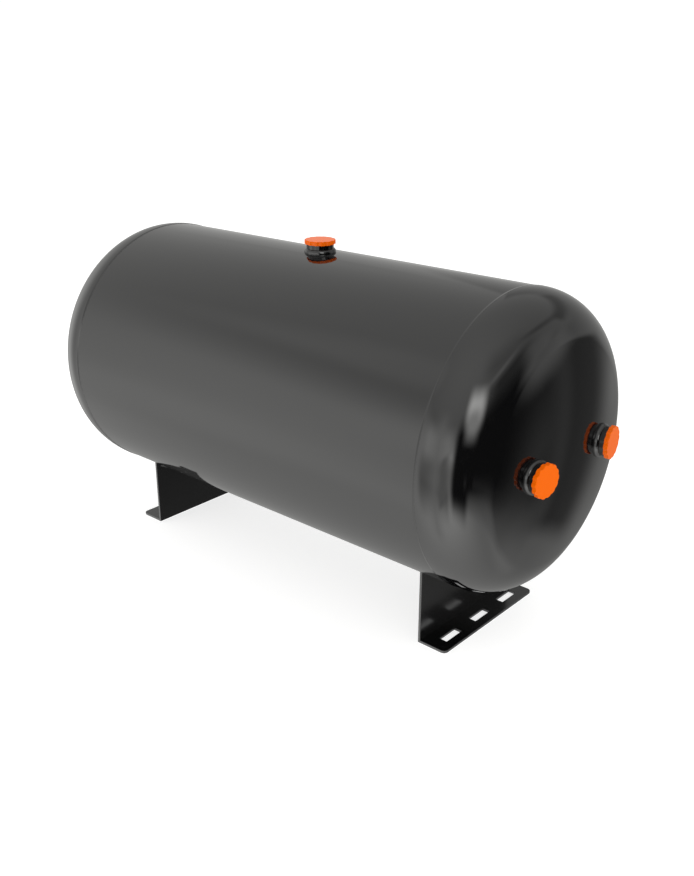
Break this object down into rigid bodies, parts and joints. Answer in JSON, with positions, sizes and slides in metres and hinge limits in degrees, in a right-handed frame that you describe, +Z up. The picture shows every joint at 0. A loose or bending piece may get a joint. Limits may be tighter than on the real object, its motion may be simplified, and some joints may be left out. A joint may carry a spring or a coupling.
{
  "type": "horizontal pressure tank",
  "caption": "Horizontal steel compressed-air receiver with dished ends, bent-plate slotted feet and threaded ports closed by lobed plastic caps",
  "frame": {"origin": "on the floor under the middle of the tank, between the feet", "axes": "+X along the tank, +Z up, +Y to the back, the side away from the front"},
  "size_m": [0.6038, 0.277, 0.341],
  "materials": {
    "shell_paint": "gloss",
    "head_paint": "gloss",
    "weld_paint": "gloss",
    "socket_paint": "gloss",
    "foot_paint": "gloss",
    "cap_plastic": "satin"
  },
  "bodies": {
    "root": {"shell": "shell_paint", "seam_weld": "weld_paint", "head_left": "head_paint", "head_right": "head_paint", "girth_weld_left": "weld_paint", "girth_weld_right": "weld_paint", "port_top_socket": "socket_paint", "port_top_weld": "weld_paint", "port_left_front_socket": "socket_paint", "port_left_front_weld": "weld_paint", "port_left_back_socket": "socket_paint", "port_left_back_weld": "weld_paint", "port_right_front_socket": "socket_paint", "port_right_front_weld": "weld_paint", "port_right_back_socket": "socket_paint", "port_right_back_weld": "weld_paint", "foot_left": "foot_paint", "foot_right": "foot_paint", "foot_weld_left": "weld_paint", "foot_weld_right": "weld_paint", "port_top_cap": "cap_plastic", "port_left_front_cap": "cap_plastic", "port_left_back_cap": "cap_plastic", "port_right_front_cap": "cap_plastic", "port_right_back_cap": "cap_plastic"}
  },
  "joints": []
}
